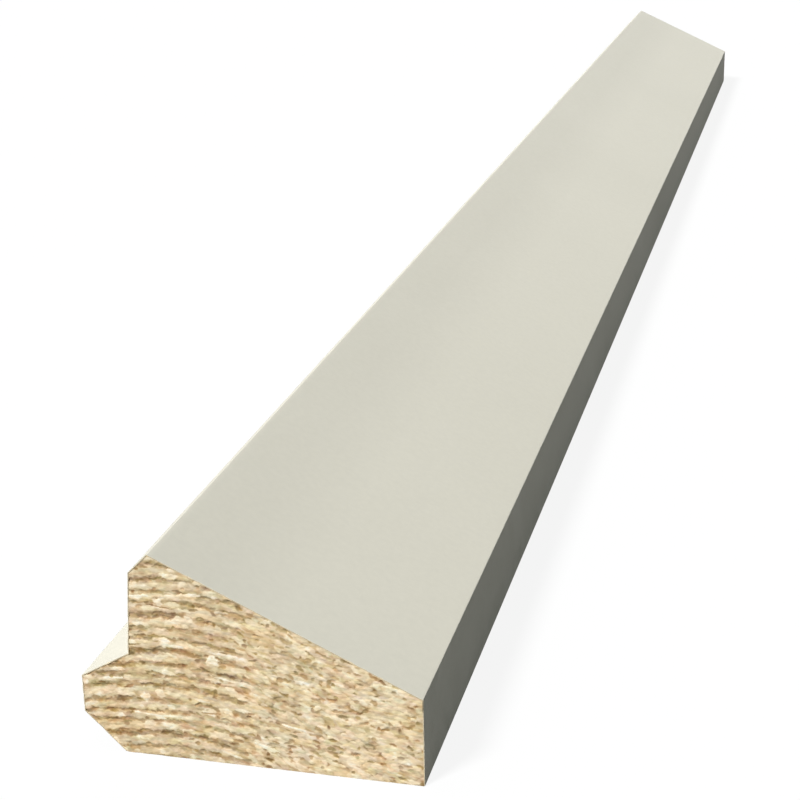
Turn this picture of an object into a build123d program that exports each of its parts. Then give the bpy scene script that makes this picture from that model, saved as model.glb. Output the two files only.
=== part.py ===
"""Shadow line moulding: a foil-wrapped particleboard profile, one straight length.

Frame: +X across the section, from the tongue to the front edge; +Y along the
length; +Z up. The origin is the middle of the underside. Millimetres, degrees.
"""
from build123d import *
import os
from math import radians, tan

# Overall finished sizes, measured over the foil
length = 600.0
width = 50.0
ridge_height = 31.6

# Front edge, the low upright face under the long sloped top
front_edge_height = 13.5

# Ridge, the highest corner: a 45 degree chamfer on its rebate side
ridge_chamfer = 3.0

# Shadow rebate: an upright wall that leans out a little towards its foot
rebate_depth = 8.4
rebate_corner_height = 16.0
wall_lean = 4.5

# Tongue below the rebate: a sloped top, and a 45 degree chamfer under its nose
tongue_slope = 30.0
nose_chamfer = 6.0

# Decor foil on every long face but the underside, trimmed just clear of the floor
foil_thickness = 0.15
foil_trim = 0.1


def finished_section():
    """Outline over the foil, carried down past the underside by one foil thickness."""
    front_x = width / 2
    nose_x = -width / 2
    wall_top_x = nose_x + rebate_depth
    wall_top_z = ridge_height - ridge_chamfer
    wall_foot_x = wall_top_x - (wall_top_z - rebate_corner_height) * tan(radians(wall_lean))
    tongue_tip_z = rebate_corner_height - (wall_foot_x - nose_x) * tan(radians(tongue_slope))
    outline = Polyline(
        (front_x, -foil_thickness),
        (front_x, front_edge_height),
        (wall_top_x + ridge_chamfer, ridge_height),
        (wall_top_x, wall_top_z),
        (wall_foot_x, rebate_corner_height),
        (nose_x, tongue_tip_z),
        (nose_x, nose_chamfer),
        (nose_x + nose_chamfer + foil_thickness, -foil_thickness),
        close=True,
    )
    return make_face(Plane.XZ * outline)


def core_section():
    """Machined board: the finished outline less the foil, flat on the floor."""
    return offset(finished_section(), amount=-foil_thickness, kind=Kind.INTERSECTION)


def foil_section():
    """Foil pressed round the core: sharp in the rebate, bent round every outer arris."""
    core = core_section()
    wrapped = offset(core, amount=foil_thickness, kind=Kind.ARC)
    trim_window = Plane.XZ * Pos(0, foil_trim) * Rectangle(
        2 * width, 2 * ridge_height, align=(Align.CENTER, Align.MIN)
    )
    return (wrapped & trim_window) - core


def sawn_length(section):
    """Cut one length of a section, square at both ends, its middle over the origin."""
    return extrude(section, amount=length / 2, both=True)


def write_node(name, shape, label_colour):
    shape.label = name
    shape.color = label_colour
    export_step(shape, f"parts/{name}.step")


os.makedirs("parts", exist_ok=True)
write_node("particleboard_core", sawn_length(core_section()), Color(0.83, 0.70, 0.52))
write_node("foil_wrap", sawn_length(foil_section()), Color(0.82, 0.81, 0.76))
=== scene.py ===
"""Looks for the shadow line moulding: a foil-wrapped length of particleboard trim.

The frame is metres, +X across the section, +Y along the length, +Z up. The long
faces are the foil, the two sawn ends are built flake by flake, and the underside
is raw board.
"""
import bmesh
import bpy
import numpy as np
from math import cos, radians, sin, tau
from mathutils import Matrix, Vector


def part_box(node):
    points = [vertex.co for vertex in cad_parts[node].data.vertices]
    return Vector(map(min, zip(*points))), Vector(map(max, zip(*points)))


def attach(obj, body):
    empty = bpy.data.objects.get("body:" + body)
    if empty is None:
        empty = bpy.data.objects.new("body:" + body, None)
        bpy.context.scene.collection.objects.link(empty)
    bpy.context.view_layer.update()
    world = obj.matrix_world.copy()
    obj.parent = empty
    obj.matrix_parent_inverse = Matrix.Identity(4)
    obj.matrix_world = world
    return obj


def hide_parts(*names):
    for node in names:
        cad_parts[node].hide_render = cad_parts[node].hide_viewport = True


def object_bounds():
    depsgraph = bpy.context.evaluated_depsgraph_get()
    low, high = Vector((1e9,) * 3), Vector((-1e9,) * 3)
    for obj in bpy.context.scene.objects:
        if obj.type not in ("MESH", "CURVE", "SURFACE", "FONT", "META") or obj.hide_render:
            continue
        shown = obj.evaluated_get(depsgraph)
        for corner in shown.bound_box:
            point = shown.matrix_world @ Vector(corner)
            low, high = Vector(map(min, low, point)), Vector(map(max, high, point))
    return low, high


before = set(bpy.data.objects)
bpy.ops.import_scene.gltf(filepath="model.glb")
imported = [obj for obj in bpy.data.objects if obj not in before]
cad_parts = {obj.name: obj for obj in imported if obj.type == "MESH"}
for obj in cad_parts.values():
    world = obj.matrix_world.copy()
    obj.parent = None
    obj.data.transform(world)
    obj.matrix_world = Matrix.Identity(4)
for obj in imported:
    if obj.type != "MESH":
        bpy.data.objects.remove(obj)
cad_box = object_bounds()
half_length = cad_box[1].y

MM = 0.001
SHARP_ANGLE = radians(40)
# How near to an end face its own corners are, and to how many decimals corners are told apart
TOUCH = 1e-6
CORNER_DECIMALS = 7

# Camera, as the photograph was taken: focal length and frame in pixels, angles in degrees
FRAME_PIXELS = 800
FOCAL_PIXELS = 1696.0
SENSOR_WIDTH_MM = 36.0
NEAREST_SEEN = 0.01
CAMERA_PLACE = Vector((0.0734, -0.4958, 0.1291))
CAMERA_YAW = -14.50
CAMERA_PITCH = 19.76
CAMERA_ROLL = -1.38

# Light: a broad soft lamp high on the left, a weak one behind, and an even, slightly cool sky
LAMP_TOWARDS = Vector((-0.55, -0.90, 1.144))
LAMP_STRENGTH = 4.32
LAMP_ANGLE = 14.0
BACK_LAMP_TOWARDS = Vector((-0.2, 0.9, 0.4))
BACK_LAMP_STRENGTH = 0.8
BACK_LAMP_ANGLE = 40.0
SKY_STRENGTH = 0.162
SKY_TINT = (0.89, 1.0, 0.945, 1.0)
FLOOR_GREY = 0.09
FLOOR_WHITE = 0.89
FLOOR_SIZE = 14.0


def grey(value):
    return (value, value, value, 1.0)


def srgb(red, green, blue):
    """Linear colour of an sRGB colour written 0 to 255."""
    def linear(value):
        share = value / 255
        return share / 12.92 if share <= 0.04045 else ((share + 0.055) / 1.055) ** 2.4
    return (linear(red), linear(green), linear(blue), 1.0)


WHITE = grey(1.0)

# Materials. A noise's scale counts its features in a metre, and most of its values lie in NOISE_RANGE
NOISE_RANGE = (0.3, 0.7)
NOISE_ROUGHNESS = 0.55
FOIL_COLOURS = (srgb(213, 209, 195), srgb(216, 212, 198))
FOIL_FLECK = (0.985, 1.015)
FOIL_ROUGHNESS = (0.66, 0.76)
FOIL_BUMP = 0.01 * MM
FOIL_EDGE_COLOURS = (srgb(200, 184, 152), srgb(226, 212, 184))
FIBRE_SHADE = (0.96, 1.08)
FIBRE_BUMP = 0.01 * MM
BOARD_COLOURS = [
    (0.18, srgb(158, 128, 90)),
    (0.38, srgb(196, 169, 129)),
    (0.55, srgb(214, 190, 152)),
    (0.82, srgb(238, 219, 185)),
]
BOARD_BUMP = 0.03 * MM
# Painted shade on the foil: its colour is darkened by this much beside the ridge, and not any more
# halfway to the front edge
PAINTED_RIDGE_SHADE = grey(0.935)
PAINTED_RIDGE_SHADE_STRIP = [(0.0, WHITE), (0.02, PAINTED_RIDGE_SHADE), (0.2, PAINTED_RIDGE_SHADE), (0.5, WHITE)]


class Nodes:
    """A material's node tree, with short calls for the few nodes used here.

    constants are numbers for the shader's own sockets.
    """

    def __init__(self, name, constants):
        self.material = bpy.data.materials.new(name)
        self.material.use_nodes = True
        self.tree = self.material.node_tree
        self.surface = self.tree.nodes["Principled BSDF"]
        for socket, number in constants.items():
            self.surface.inputs[socket].default_value = number

    def add(self, kind, **settings):
        node = self.tree.nodes.new(kind)
        for key, value in settings.items():
            setattr(node, key, value)
        return node

    def link(self, source, target):
        self.tree.links.new(source, target)

    def feed(self, socket, source):
        """Give one of the shader's sockets its values."""
        self.link(source, self.surface.inputs[socket])

    def position(self):
        return self.add("ShaderNodeTexCoord").outputs["Object"]

    def part(self, vector, axis):
        node = self.add("ShaderNodeSeparateXYZ")
        self.link(vector, node.inputs["Vector"])
        return node.outputs[axis]

    def stretched(self, vector, scale):
        node = self.add("ShaderNodeMapping")
        node.inputs["Scale"].default_value = scale
        self.link(vector, node.inputs["Vector"])
        return node.outputs["Vector"]

    def noise(self, vector, scale, detail=3.0):
        node = self.add("ShaderNodeTexNoise")
        node.inputs["Scale"].default_value = scale
        node.inputs["Detail"].default_value = detail
        node.inputs["Roughness"].default_value = NOISE_ROUGHNESS
        self.link(vector, node.inputs["Vector"])
        return node.outputs["Fac"]

    def cells(self, vector, scale):
        """Cells with one random value each."""
        node = self.add("ShaderNodeTexVoronoi")
        node.inputs["Scale"].default_value = scale
        self.link(vector, node.inputs["Vector"])
        value = self.add("ShaderNodeSeparateColor")
        self.link(node.outputs["Color"], value.inputs["Color"])
        return value.outputs["Red"]

    def warped(self, vector, scale, distance):
        """The vector moved about by noise, by up to the distance."""
        node = self.add("ShaderNodeTexNoise")
        node.inputs["Scale"].default_value = scale
        self.link(vector, node.inputs["Vector"])
        shift = self.add("ShaderNodeVectorMath", operation="MULTIPLY_ADD")
        self.link(node.outputs["Color"], shift.inputs[0])
        shift.inputs[1].default_value = (distance, distance, distance)
        self.link(vector, shift.inputs[2])
        return shift.outputs["Vector"]

    def mixed(self, *parts):
        """Sum of values, each times its share."""
        total = None
        for value, share in parts:
            node = self.add("ShaderNodeMath", operation="MULTIPLY_ADD")
            self.link(value, node.inputs[0])
            node.inputs[1].default_value = share
            node.inputs[2].default_value = 0.0
            if total:
                self.link(total, node.inputs[2])
            total = node.outputs["Value"]
        return total

    def spread(self, value, source, target):
        """The value, with its source range stretched to the target range."""
        node = self.add("ShaderNodeMapRange")
        for index, number in enumerate((*source, *target), start=1):
            node.inputs[index].default_value = number
        self.link(value, node.inputs["Value"])
        return node.outputs["Result"]

    def ramp(self, value, stops):
        node = self.add("ShaderNodeValToRGB")
        elements = node.color_ramp.elements
        while len(elements) < len(stops):
            elements.new(0.5)
        for element, (place, colour) in zip(elements, stops):
            element.position = place
            element.color = colour
        self.link(value, node.inputs["Fac"])
        return node.outputs["Color"]

    def between(self, noise, colours):
        """A colour that goes from the first of two to the second with the noise."""
        return self.ramp(noise, list(zip(NOISE_RANGE, colours)))

    def tinted(self, colour, factor):
        """Colour times a grey factor or another colour."""
        node = self.add("ShaderNodeVectorMath", operation="MULTIPLY")
        self.link(colour, node.inputs[0])
        self.link(factor, node.inputs[1])
        return node.outputs["Vector"]

    def bump(self, height, distance):
        node = self.add("ShaderNodeBump")
        node.inputs["Distance"].default_value = distance
        node.inputs["Strength"].default_value = 1.0
        self.link(height, node.inputs["Height"])
        self.feed("Normal", node.outputs["Normal"])


def foil_material(ridge, front):
    """Pale stone-grey decor foil: satin, very even, with a faint skin from the board under it.

    Its colour is painted a touch darker beside the ridge, a painted shade. ridge and front
    are where the ridge and the front edge lie across the section.
    """
    satin = {"Specular IOR Level": 0.3, "Sheen Weight": 0.15, "Sheen Roughness": 0.4}
    mat = Nodes("stone_grey_foil", satin)
    place = mat.position()
    cloud = mat.noise(place, scale=14.0, detail=2.0)
    skin = mat.noise(place, scale=900.0, detail=2.0)
    board = mat.noise(place, scale=260.0)
    colour = mat.between(cloud, FOIL_COLOURS)
    across = mat.spread(mat.part(place, "X"), (ridge, front), (0.0, 1.0))
    # Painted shade: a darker strip of the foil's colour beside the ridge, fading out towards the front
    # edge
    painted_shade_strip = mat.ramp(across, PAINTED_RIDGE_SHADE_STRIP)
    fleck = mat.spread(skin, NOISE_RANGE, FOIL_FLECK)
    mat.feed("Base Color", mat.tinted(mat.tinted(colour, painted_shade_strip), fleck))
    mat.feed("Roughness", mat.spread(board, NOISE_RANGE, FOIL_ROUGHNESS))
    mat.bump(mat.mixed((board, 1.0), (skin, 0.4)), FOIL_BUMP)
    return mat.material


def foil_edge_material():
    """The foil's raw edge: paper stained by glue and sawdust."""
    mat = Nodes("foil_edge", {"Roughness": 0.9, "Specular IOR Level": 0.1})
    grain = mat.noise(mat.position(), scale=2500.0)
    mat.feed("Base Color", mat.between(grain, FOIL_EDGE_COLOURS))
    return mat.material


def sawn_material():
    """Sawn flakes: the colour laid down with the relief, and fibres finer than its points."""
    mat = Nodes("sawn_flakes", {"Roughness": 0.8, "Specular IOR Level": 0.15})
    colour = mat.add("ShaderNodeVertexColor", layer_name="wood").outputs["Color"]
    streak = mat.noise(mat.stretched(mat.position(), (1.0, 1.0, 4.0)), scale=1300.0, detail=2.0)
    mat.feed("Base Color", mat.tinted(colour, mat.spread(streak, NOISE_RANGE, FIBRE_SHADE)))
    mat.bump(streak, FIBRE_BUMP)
    return mat.material


def board_material():
    """Sanded underside: fine flakes and dust pressed flat, seen from their broad side."""
    mat = Nodes("sanded_board", {"Roughness": 0.85, "Specular IOR Level": 0.15})
    place = mat.position()
    ragged = mat.warped(place, scale=500.0, distance=1.2 * MM)
    coarse = mat.cells(mat.stretched(ragged, (1.0, 0.55, 1.0)), scale=520.0)
    fine = mat.cells(mat.stretched(ragged, (0.7, 1.0, 1.0)), scale=1500.0)
    dust = mat.noise(place, scale=3200.0)
    tone = mat.mixed((coarse, 0.40), (fine, 0.30), (dust, 0.30))
    mat.feed("Base Color", mat.ramp(tone, BOARD_COLOURS))
    mat.bump(tone, BOARD_BUMP)
    return mat.material


def section_outline(node):
    """Corners of a node's near end face in (x, z), anticlockwise seen from -Y."""
    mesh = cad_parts[node].data
    near = min(v.co.y for v in mesh.vertices)
    face = [v.co for v in mesh.vertices if v.co.y - near < TOUCH]
    corners = {(round(co.x, CORNER_DECIMALS), round(co.z, CORNER_DECIMALS)) for co in face}
    middle = Vector((0.0, sum(z for _, z in corners) / len(corners)))

    def turn(corner):
        return -Vector((1, 0)).angle_signed(corner - middle) % tau

    return sorted((Vector(corner) for corner in corners), key=turn)


def new_object(name, data):
    made = bpy.data.objects.new(name, data)
    bpy.context.scene.collection.objects.link(made)
    return made


def new_piece(name, points, faces, materials):
    mesh = bpy.data.meshes.new(name)
    mesh.from_pydata(points, [], faces)
    for material in materials:
        mesh.materials.append(material)
    piece = new_object(name, mesh)
    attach(piece, "root")
    return piece


# Particleboard core: a plain prism, and a block of fine relief on each sawn end

CELL = 0.11 * MM
BLOCK_DEPTH = 1.0 * MM
# A cut goes through any point of the sheet that is nearer to it than this
CUT_TOLERANCE = 0.05 * CELL


def board_core(outline):
    count = len(outline)
    ends = (-half_length + BLOCK_DEPTH, half_length - BLOCK_DEPTH)
    points = [(c.x, y, c.y) for y in ends for c in outline]
    sides = [(i + count, (i + 1) % count + count, (i + 1) % count, i) for i in range(count)]
    faces = sides + [tuple(range(count)), tuple(reversed(range(count, 2 * count)))]
    return new_piece("board_core", points, faces, [board_material()])


def smooth(value, low, high):
    """0 up to low, 1 from high on, and a smooth step between them."""
    share = np.clip((value - low) / (high - low), 0, 1)
    return share * share * (3 - 2 * share)


# Strata of the board, in millimetres: their pitch, the crest they arch over and how far they sink
# on either side of it, and where they stop showing as clear bands
STRATA_PITCH = 1.87
STRATA_CREST = -12.0
STRATA_SINK = 4.0
STRATA_ARCH = 20.0
STRATA_FADE = -1.0
STRATA_FADE_WIDTH = 1.8
# Waves of the strata along x: their height, and the range of their turn, in radians a millimetre
STRATA_WAVES = ((0.11, (0.35, 0.6)), (0.06, (1.3, 2.0)))
# How unevenly the strata follow each other upwards, in strata, and the range of that wave's turn
STRATA_SWELL = 0.14
SWELL_TURN = (0.7, 1.0)
# How much darker and deeper the dark strata are, and how far they wander, in strata
DARK_TONE = 0.47
DARK_DEPTH = 0.05
DARK_WANDER = 0.11

# Flakes: how far they stray from their stratum, in millimetres, how much more their directions
# differ in the loose part and how far they lean there, in degrees
STRATUM_SCATTER = 0.27
LOOSE_SPREAD = 6.0
LOOSE_LEAN = 9.0
# A flake's lens shape: how blunt its ends are, and where its crown comes down to nothing, 1 being its rim
LENS_POWER = 2.4
CROWN_REACH = 1.2
# Tone under all flakes, and how much the grain changes a flake's own
GROUND_TONE = 0.60
GRAIN_TONE = 0.1
# The paler a flake is in this range, the more of its own hue it loses, up to this share
PALE_TONES = (0.75, 1.0)
PALE_HUE_LOSS = 0.7

# Share of the sawn face that is darker than each colour, and the colour
TONES = [
    (0.000, (134, 105, 70)),
    (0.015, (158, 130, 92)),
    (0.060, (173, 146, 107)),
    (0.150, (188, 161, 121)),
    (0.280, (203, 177, 138)),
    (0.450, (217, 194, 155)),
    (0.680, (231, 209, 171)),
    (0.880, (243, 222, 186)),
    (0.975, (252, 235, 202)),
    (1.000, (255, 247, 226)),
]
# The display curve that those colours are written for
DISPLAY_GAMMA = 2.2
# What a warm and a pink patch add to their red, green and blue
WARM_SHIFT = (5.5, -1.4, -8.5)
PINK_SHIFT = (4.0, -2.6, 3.4)


class SawnFace:
    """Relief and tone of a sawn end on a grid over the section, laid down flake by flake.

    Lengths are in millimetres. Tone is about 0 where the wood is dark and 1 where it is pale.
    """

    def __init__(self, outline, seed):
        self.chance = np.random.default_rng(seed)
        self.low = [min(c[k] for c in outline) / MM for k in (0, 1)]
        self.high = [max(c[k] for c in outline) / MM for k in (0, 1)]
        self.step = CELL / MM
        sides = zip(self.low, self.high)
        places = [np.arange(low, high + 2 * self.step, self.step) for low, high in sides]
        self.x, self.z = np.meshgrid(*places, indexing="ij")
        self.relief, self.warmth, self.pinkness = (np.zeros_like(self.x) for _ in range(3))
        # What makes the flakes' rims ragged, along and across them, and the grain that they all have
        self.ripple_along = 0.3 * self.clouds(0.5, 0.4) + 0.2 * self.clouds(0.3, 0.25)
        self.ripple_across = 0.45 * self.clouds(0.8, 0.45) + 0.35 * self.clouds(0.3, 0.3)
        self.grain = self.clouds(1.2, 0.16)
        self.waves = [(height, self.pick(*turns), self.pick(0, tau)) for height, turns in STRATA_WAVES]
        self.swell = self.pick(*SWELL_TURN)
        self.tone = GROUND_TONE + 0.07 * self.clouds(6.0, 1.5)
        self.lay_board()
        # Mottle over it all, broader patches in the loose part, and the saw's uneven cut
        self.tone += 0.13 * self.clouds(0.8, 0.6) + 0.05 * self.clouds(0.36, 0.32)
        self.tone += (1 - self.layered(self.x)) * (0.13 * self.clouds(2.4, 1.5) - 0.01)
        self.relief += 0.03 * self.clouds(0.5, 0.35)

    def pick(self, low, high):
        return self.chance.uniform(low, high)

    def clouds(self, size_x, size_z):
        """Smooth random field between -1 and 1, with patches of the given size lying along the strata."""
        u = (self.x - self.low[0]) / size_x
        v = (self.z + self.dip(self.x) + STRATA_PITCH) / size_z
        grid = self.chance.uniform(-1, 1, (int(u.max()) + 2, int(v.max()) + 2))
        i, j = u.astype(int), v.astype(int)
        return blend_cells(grid, i, j, smooth(u - i, 0, 1), smooth(v - j, 0, 1))

    def layered(self, x):
        """1 where the board lies in clear strata, fading to 0 towards the front edge."""
        return 1 / (1 + np.exp((x - STRATA_FADE) / STRATA_FADE_WIDTH))

    def dip(self, x):
        """How far the strata have sunk at x from their crest."""
        return STRATA_SINK * (1 - np.exp(-(((x - STRATA_CREST) / STRATA_ARCH) ** 2)))

    def slope(self, x):
        """How far the strata sink in the millimetre round x, about their angle in radians."""
        return self.dip(x + 0.5) - self.dip(x - 0.5)

    def level(self, x, z):
        """Height of (x, z) counted in strata, a whole number in the middle of a dark one."""
        drift = sum(height * np.sin(turn * x + start) for height, turn, start in self.waves)
        return (z + self.dip(x) - drift) / STRATA_PITCH + STRATA_SWELL * np.sin(self.swell * z)

    def dark_strata(self):
        middle = self.level(self.x, self.z) + DARK_WANDER * self.clouds(3.5, 1.8)
        wave = 0.5 + 0.5 * np.cos(tau * middle)
        strength = self.layered(self.x) * (0.75 + 0.8 * self.clouds(3.5, 1.3))
        ragged = 0.20 * self.clouds(0.8, 0.5) + 0.26 * self.clouds(0.32, 0.35)
        band = smooth(wave + ragged, 0.50, 1.0) * np.clip(strength, 0, 1)
        self.tone -= DARK_TONE * band
        self.relief -= DARK_DEPTH * band

    def lay_board(self):
        """Lay every kind of flake, from the lowest up."""
        # Broad flakes in middle tones, and the dark strata over them
        self.flakes(
            per_mm2=1.3, length=(1.2, 4.5), thickness=(0.5, 1.2), spread=5, tone=(0.46, 0.72),
            cover=0.8, crown=0.035, edge=0.6,
        )
        self.dark_strata()
        # Paler flakes between the dark strata, and short dark splinters in them
        self.flakes(
            per_mm2=0.7, length=(1.2, 4.0), thickness=(0.42, 0.85), spread=3, tone=(0.62, 0.82),
            cover=0.6, crown=0.035, edge=0.6, stratum=0.5,
        )
        self.flakes(
            per_mm2=0.9, length=(0.4, 1.4), thickness=(0.28, 0.52), spread=12, tone=(-0.05, 0.34),
            cover=0.8, crown=-0.05, edge=0.8, stratum=0.0,
        )
        # Pale splinters, and a few thick pale chips
        self.flakes(
            per_mm2=0.22, length=(0.8, 2.6), thickness=(0.40, 0.75), spread=8, tone=(0.84, 1.08),
            cover=0.8, crown=0.025, edge=0.6, stratum=0.5,
        )
        self.flakes(
            per_mm2=0.02, length=(1.3, 3.0), thickness=(0.9, 1.4), spread=8, tone=(0.92, 1.2),
            cover=0.85, crown=0.045, edge=0.5, kept=(1.0, 0.25),
        )
        # A few long slivers, pale and dark
        self.flakes(
            per_mm2=0.012, length=(3.5, 6.5), thickness=(0.30, 0.55), spread=5, tone=(0.95, 1.25),
            cover=0.85, crown=0.035, edge=0.4, stratum=0.5,
        )
        self.flakes(
            per_mm2=0.008, length=(3.0, 6.0), thickness=(0.20, 0.30), spread=4, tone=(-0.1, 0.15),
            cover=0.8, crown=-0.05, edge=0.4, stratum=0.5, kept=(1.0, 0.3),
        )
        # Pale flakes of the loose part, and the dark gaps among them
        self.flakes(
            per_mm2=0.9, length=(0.8, 2.2), thickness=(0.38, 0.65), spread=10, tone=(0.62, 1.0),
            cover=0.75, crown=0.035, edge=0.45, kept=(0.0, 1.0),
        )
        self.flakes(
            per_mm2=0.16, length=(0.5, 1.6), thickness=(0.35, 0.6), spread=16, tone=(0.0, 0.28),
            cover=0.85, crown=-0.05, edge=0.6, kept=(0.15, 1.0),
        )

    def flakes(
        self, per_mm2, length, thickness, spread, tone, cover, crown, edge, stratum=None, kept=(1.0, 1.0)
    ):
        """Lay many flakes at random. length, thickness and tone are ranges.

        spread is how much their directions differ, in degrees. cover is how much they hide of what
        is under them, and edge how soft their rims are. crown is how high they stand, below zero
        for sunk ones. stratum draws them to a height in the strata, where those are clear, and
        kept is the share of them that is laid in clear strata, and in the loose part.
        """
        (low_x, low_z), (high_x, high_z) = self.low, self.high
        for _ in range(int((high_x - low_x) * (high_z - low_z) * per_mm2)):
            x, z = self.pick(low_x, high_x), self.pick(low_z, high_z)
            loose = 1 - self.layered(x)
            if self.pick(0, 1) > kept[0] + loose * (kept[1] - kept[0]):
                continue
            if stratum is not None:
                level = self.level(x, z)
                off = (round(level - stratum) + stratum - level) * STRATA_PITCH
                z += (off + self.chance.normal(0, STRATUM_SCATTER)) * (1 - loose)
            turn = self.chance.normal(0, spread + LOOSE_SPREAD * loose) - LOOSE_LEAN * loose
            lie = radians(turn) - self.slope(x)
            size = self.pick(*length), self.pick(*thickness)
            self.lay(x, z, *size, lie, self.pick(*tone), cover, crown, edge)

    def window(self, x, z, reach):
        """The part of the grid that is within reach of a place."""
        spans = []
        for place, low in zip((x, z), self.low):
            first = int((place - reach - low) / self.step)
            last = int((place + reach - low) / self.step) + 2
            spans.append(slice(max(first, 0), max(last, 0)))
        return tuple(spans)

    def lay(self, x, z, length, thickness, lie, tone, cover, crown, edge):
        """Lay one flake, a ragged lens, over what is there."""
        window = self.window(x, z, 0.5 * length + thickness)
        dx, dz = self.x[window] - x, self.z[window] - z
        along = (dx * cos(lie) + dz * sin(lie)) / (0.5 * length) + self.ripple_along[window]
        across = (dz * cos(lie) - dx * sin(lie)) / (0.5 * thickness) + self.ripple_across[window]
        off = np.abs(along) ** LENS_POWER + across ** 2
        share = cover * smooth(-off, -1 - edge, -1 + edge)
        own = tone + GRAIN_TONE * self.grain[window]
        hue = 1.0 - PALE_HUE_LOSS * smooth(tone, *PALE_TONES)
        warm, pink = hue * self.pick(-1, 1), hue * self.pick(-1, 1)
        for field, value in ((self.tone, own), (self.warmth, warm), (self.pinkness, pink)):
            field[window] += (value - field[window]) * share
        if crown > 0:
            self.relief[window] *= 1 - share
        self.relief[window] += crown * share * np.clip(CROWN_REACH - off, 0, 1)

    def colours(self):
        """Linear colours on the grid, with patches a little warmer or cooler, pinker or greener."""
        order = np.argsort(self.tone, axis=None, kind="stable")
        rank = np.empty(order.size)
        rank[order] = np.linspace(0, 1, order.size)
        rank = rank.reshape(self.tone.shape)
        shares, colours = zip(*TONES)
        warm = self.warmth + 0.5 * self.clouds(1.5, 0.6) + 0.4 * self.clouds(4.0, 1.3)
        pink = self.pinkness + 0.5 * self.clouds(1.5, 0.6)
        channels = [
            np.interp(rank, shares, channel) + (warmer * warm + pinker * pink)
            for channel, warmer, pinker in zip(zip(*colours), WARM_SHIFT, PINK_SHIFT)
        ]
        return (np.clip(np.stack(channels, -1), 0, 255) / 255) ** DISPLAY_GAMMA

    def at(self, field, x, z):
        """A field's values at points given in metres, between the grid's points."""
        u, v = (x / MM - self.low[0]) / self.step, (z / MM - self.low[1]) / self.step
        i = np.clip(u.astype(int), 0, field.shape[0] - 2)
        j = np.clip(v.astype(int), 0, field.shape[1] - 2)
        a, b = u - i, v - j
        if field.ndim == 3:
            a, b = a[:, None], b[:, None]
        return blend_cells(field, i, j, a, b)


def blend_cells(field, i, j, a, b):
    """Values between a grid's points (i, j) and (i + 1, j + 1), a and b of the way."""
    lower = field[i, j] * (1 - a) + field[i + 1, j] * a
    upper = field[i, j + 1] * (1 - a) + field[i + 1, j + 1] * a
    return lower * (1 - b) + upper * b


def cut_in_rows(work, axis, low, high):
    """Cut a flat sheet by parallel lines one cell apart."""
    normal = Vector((0, 0, 0))
    normal[axis] = 1
    rest = work.faces[:]
    place = low + CELL
    while place < high:
        geometry = dict.fromkeys(rest)
        for face in rest:
            geometry.update(dict.fromkeys([*face.edges, *face.verts]))
        made = bmesh.ops.bisect_plane(
            work, geom=list(geometry), dist=CUT_TOLERANCE, plane_co=normal * place, plane_no=normal
        )["geom"]
        faces = [item for item in made if isinstance(item, bmesh.types.BMFace)]
        rest = [face for face in faces if face.calc_center_median()[axis] > place]
        place += CELL


def block_of_cells(outline, side, face):
    """A shallow block with the section's outline, its outer face cut into cells."""
    work = bmesh.new()
    outer = side * half_length
    work.faces.new([work.verts.new((c.x, outer, c.y)) for c in outline])
    for axis, low, high in zip((0, 2), face.low, face.high):
        cut_in_rows(work, axis, low * MM, high * MM)
    if side > 0:
        bmesh.ops.reverse_faces(work, faces=work.faces[:])
    inner = outer - side * BLOCK_DEPTH
    behind = {}
    for edge in [edge for edge in work.edges if edge.is_boundary]:
        for point in edge.verts:
            if point not in behind:
                behind[point] = work.verts.new((point.co.x, inner, point.co.z))
        a, b = edge.verts
        work.faces.new((a, b, behind[b], behind[a]))
    for cell in work.faces:
        cell.smooth = True
    bmesh.ops.holes_fill(work, edges=[edge for edge in work.edges if edge.is_boundary])
    bmesh.ops.recalc_face_normals(work, faces=work.faces[:])
    return work


def carve(mesh, side, face):
    """Sink the outer points of a block by the relief, and paint its points with the flakes' colours."""
    places = np.empty(3 * len(mesh.vertices))
    mesh.vertices.foreach_get("co", places)
    places = places.reshape(-1, 3)
    height = face.at(face.relief - face.relief.max(), places[:, 0], places[:, 2]) * MM
    outside = np.abs(places[:, 1] - side * half_length) < 0.5 * BLOCK_DEPTH
    places[:, 1] += np.where(outside, side * height, 0)
    mesh.vertices.foreach_set("co", places.ravel())
    colour = face.at(face.colours(), places[:, 0], places[:, 2])
    paint = mesh.color_attributes.new("wood", "FLOAT_COLOR", "POINT")
    paint.data.foreach_set("color", np.hstack([colour, np.ones((len(colour), 1))]).ravel())
    mesh.update()


def sawn_end(name, side, outline, material, seed):
    """One sawn end: a block that meets the board, with the relief outside. side is -1 near, 1 far."""
    face = SawnFace(outline, seed)
    work = block_of_cells(outline, side, face)
    piece = new_piece(name, [], [], [material])
    work.to_mesh(piece.data)
    work.free()
    carve(piece.data, side, face)
    piece.data.set_sharp_from_angle(angle=SHARP_ANGLE)


wood = sawn_material()
core_outline = section_outline("particleboard_core")
core = board_core(core_outline)
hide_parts("particleboard_core")
sawn_end("near_sawn_end", -1, core_outline, wood, seed=12)
sawn_end("far_sawn_end", 1, core_outline, wood, seed=8)

# Decor foil: one layer round every corner of the board but the two at the floor, cut with it at both ends

FOIL_STEP = 0.35 * MM
FOIL_ROW = 12.0 * MM
FOIL_CUT_ROW = 0.6 * MM
ARC_PIECES = 6
NICK_LENGTH = 0.9 * MM
NICK_DEPTH = 0.22 * MM
# Only the roughest stretches of a cut edge are nicked, and a nick has a random share of its depth
NICKED = (0.62, 1.0)
NICK_SHARE = (0.4, 1.0)


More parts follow.
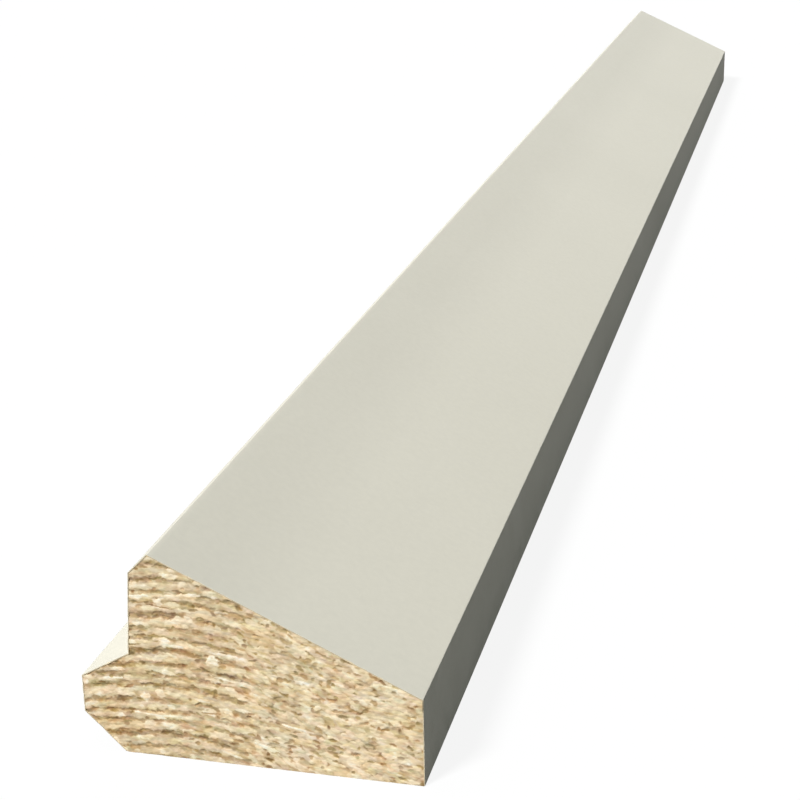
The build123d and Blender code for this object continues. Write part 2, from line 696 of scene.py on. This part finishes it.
def foil_bends(outline):
    """Each place where the wrap bends or ends: its points on the outer face, and the one under them."""
    (foil_low, foil_high), (core_low, core_high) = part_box("foil_wrap"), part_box("particleboard_core")
    thickness, trim = foil_high.x - core_high.x, foil_low.z
    first = outline.index(max((c for c in outline if c.y < core_low.z + trim), key=lambda c: c.x))
    corners = outline[first:] + outline[:first]
    runs = list(zip(corners, corners[1:]))
    outward = [thickness * Vector((b.y - a.y, a.x - b.x)).normalized() for a, b in runs]

    def trimmed(run, shift):
        a, b = (corner + shift for corner in run)
        return a.lerp(b, (trim - a.y) / (b.y - a.y))

    still = Vector((0, 0))
    bends = [([trimmed(runs[0], outward[0])], trimmed(runs[0], still))]
    for corner, before, after in zip(corners[1:-1], outward, outward[1:]):
        if before.cross(after) > 0:
            turn = before.angle(after)
            shifts = [Matrix.Rotation(turn * i / ARC_PIECES, 2) @ before for i in range(ARC_PIECES + 1)]
        else:
            shifts = [(before + after) / (1 + before.normalized().dot(after.normalized()))]
        bends.append(([corner + shift for shift in shifts], corner))
    bends.append(([trimmed(runs[-1], outward[-1])], trimmed(runs[-1], still)))
    return bends


def foil_path(outline):
    """Points round the wrap in pairs: one on its outer face, and the one under it on the board."""
    bends = foil_bends(outline)
    pairs = []
    for (points, under), (next_points, next_under) in zip(bends, bends[1:]):
        pairs += [(point, under) for point in points]
        start, stop = points[-1], next_points[0]
        pieces = max(2, round((stop - start).length / FOIL_STEP))
        for i in range(1, pieces):
            pairs.append((start.lerp(stop, i / pieces), under.lerp(next_under, i / pieces)))
    points, under = bends[-1]
    return pairs + [(point, under) for point in points]


def foil_rows():
    """Where the wrap's rows of points lie along the length, with a short row at each cut end."""
    inner = np.arange(-half_length + FOIL_ROW, half_length - 0.5 * FOIL_ROW, FOIL_ROW)
    return [-half_length, -half_length + FOIL_CUT_ROW, *inner, half_length - FOIL_CUT_ROW, half_length]


def saw_nicks(pairs, chance):
    """How deep one cut edge is nicked at each point round the wrap."""
    travelled = np.cumsum([0] + [(b[0] - a[0]).length for a, b in zip(pairs, pairs[1:])])
    grid = chance.uniform(0, 1, int(travelled[-1] / NICK_LENGTH) + 3)
    rough = np.interp(travelled / NICK_LENGTH, np.arange(grid.size), grid)
    return NICK_DEPTH * smooth(rough, *NICKED) * chance.uniform(*NICK_SHARE, rough.size)


def close_wrap(points, faces, pairs, row_count):
    """Add the inner face, both cut ends and both trimmed edges to the wrap's outer face."""
    width = len(pairs)
    feet = []
    for k, (_, under) in enumerate(pairs):
        if k == 0 or (under - pairs[k - 1][1]).length > 0:
            points += [(under.x, y, under.y) for y in (-half_length, half_length)]
        feet.append(len(points) - 2)
    last = (row_count - 1) * width
    for k, (a, b) in enumerate(zip(feet, feet[1:])):
        if a == b:
            faces += [(k, k + 1, a), (last + k + 1, last + k, a + 1)]
        else:
            faces += [(a, b, b + 1, a + 1), (k, k + 1, b, a), (last + k + 1, last + k, a + 1, b + 1)]
    for k in (0, width - 1):
        edge = [row * width + k for row in range(row_count)] + [feet[k] + 1, feet[k]]
        faces.append(tuple(edge if k else reversed(edge)))


def foil_piece(outline, seed):
    """The wrap: outer and inner face, both trimmed edges, and cut ends with small nicks from the saw."""
    chance = np.random.default_rng(seed)
    pairs = foil_path(outline)
    rows = foil_rows()
    near, far = saw_nicks(pairs, chance), saw_nicks(pairs, chance)
    nicks = [near, *np.zeros((len(rows) - 2, len(pairs))), -far]
    points = []
    for y, row_nicks in zip(rows, nicks):
        points += [(outer.x, y + nick, outer.y) for (outer, _), nick in zip(pairs, row_nicks)]
    width = len(pairs)
    cells = [row * width + k for row in range(len(rows) - 1) for k in range(width - 1)]
    faces = [(a, a + width, a + width + 1, a + 1) for a in cells]
    outer_count = len(faces)
    close_wrap(points, faces, pairs, len(rows))
    ridge, front = max(outline, key=lambda c: c.y).x, max(c.x for c in outline)
    materials = [foil_material(ridge, front), foil_edge_material()]
    piece = new_piece("foil", points, faces, materials)
    for index, polygon in enumerate(piece.data.polygons):
        polygon.use_smooth = index < outer_count
        polygon.material_index = 0 if index < outer_count else 1
    piece.data.set_sharp_from_angle(angle=SHARP_ANGLE)
    return piece


foil = foil_piece(core_outline, seed=5)
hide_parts("foil_wrap")

# Floor, light and camera


def seen_directly(tree):
    """1 for camera, glossy and transmission rays, and 0 for all the rest."""
    path = tree.nodes.new("ShaderNodeLightPath")
    seen = path.outputs["Is Camera Ray"]
    for output in ("Is Glossy Ray", "Is Transmission Ray"):
        either = tree.nodes.new("ShaderNodeMath")
        either.operation = "MAXIMUM"
        tree.links.new(seen, either.inputs[0])
        tree.links.new(path.outputs[output], either.inputs[1])
        seen = either.outputs["Value"]
    return seen


def floor_material():
    """A dark grey that glows near white where it is seen, and keeps the shadow on it."""
    material = bpy.data.materials.new("pale_floor")
    material.use_nodes = True
    tree = material.node_tree
    tree.nodes.clear()
    diffuse = tree.nodes.new("ShaderNodeBsdfDiffuse")
    diffuse.inputs["Color"].default_value = grey(FLOOR_GREY)
    white = tree.nodes.new("ShaderNodeMath")
    white.operation = "MULTIPLY"
    white.inputs[1].default_value = FLOOR_WHITE
    tree.links.new(seen_directly(tree), white.inputs[0])
    glow = tree.nodes.new("ShaderNodeEmission")
    tree.links.new(white.outputs["Value"], glow.inputs["Strength"])
    total = tree.nodes.new("ShaderNodeAddShader")
    tree.links.new(diffuse.outputs[0], total.inputs[0])
    tree.links.new(glow.outputs[0], total.inputs[1])
    output = tree.nodes.new("ShaderNodeOutputMaterial")
    tree.links.new(total.outputs[0], output.inputs["Surface"])
    return material


def floor():
    half = FLOOR_SIZE / 2
    corners = [(-half, -half, 0), (half, -half, 0), (half, half, 0), (-half, half, 0)]
    mesh = bpy.data.meshes.new("floor")
    mesh.from_pydata(corners, [], [(0, 1, 2, 3)])
    mesh.materials.append(floor_material())
    plane = new_object("floor", mesh)


def sky():
    """A world that is a low tinted sky as light, and plain white where it is seen."""
    world = bpy.data.worlds.new("sky")
    bpy.context.scene.world = world
    world.use_nodes = True
    tree = world.node_tree
    tinted = tree.nodes["Background"]
    tinted.inputs["Color"].default_value = SKY_TINT
    tinted.inputs["Strength"].default_value = SKY_STRENGTH
    white = tree.nodes.new("ShaderNodeBackground")
    white.inputs["Color"].default_value = WHITE
    mix = tree.nodes.new("ShaderNodeMixShader")
    tree.links.new(seen_directly(tree), mix.inputs["Fac"])
    tree.links.new(tinted.outputs[0], mix.inputs[1])
    tree.links.new(white.outputs[0], mix.inputs[2])
    tree.links.new(mix.outputs[0], tree.nodes["World Output"].inputs["Surface"])


def soft_lamp(name, towards, strength, angle):
    data = bpy.data.lights.new(name, "SUN")
    data.energy = strength
    data.angle = radians(angle)
    lamp = new_object(name, data)
    lamp.rotation_euler = towards.to_track_quat("Z", "Y").to_euler()


def camera():
    data = bpy.data.cameras.new("camera")
    data.sensor_width = SENSOR_WIDTH_MM
    data.lens = FOCAL_PIXELS / FRAME_PIXELS * SENSOR_WIDTH_MM
    data.clip_start = NEAREST_SEEN
    view = new_object("camera", data)
    yaw, pitch, roll = radians(CAMERA_YAW), radians(CAMERA_PITCH), radians(CAMERA_ROLL)
    ahead = Vector((sin(yaw) * cos(pitch), cos(yaw) * cos(pitch), -sin(pitch)))
    level = Vector((cos(yaw), -sin(yaw), 0))
    up = level.cross(ahead)
    right = level * cos(roll) + up * sin(roll)
    up = up * cos(roll) - level * sin(roll)
    view.matrix_world = Matrix((right, up, -ahead)).transposed().to_4x4()
    view.location = CAMERA_PLACE
    bpy.context.scene.camera = view


floor()
sky()
soft_lamp("soft_lamp", LAMP_TOWARDS, LAMP_STRENGTH, LAMP_ANGLE)
soft_lamp("back_lamp", BACK_LAMP_TOWARDS, BACK_LAMP_STRENGTH, BACK_LAMP_ANGLE)
camera()
bpy.context.scene.view_settings.view_transform = "Standard"
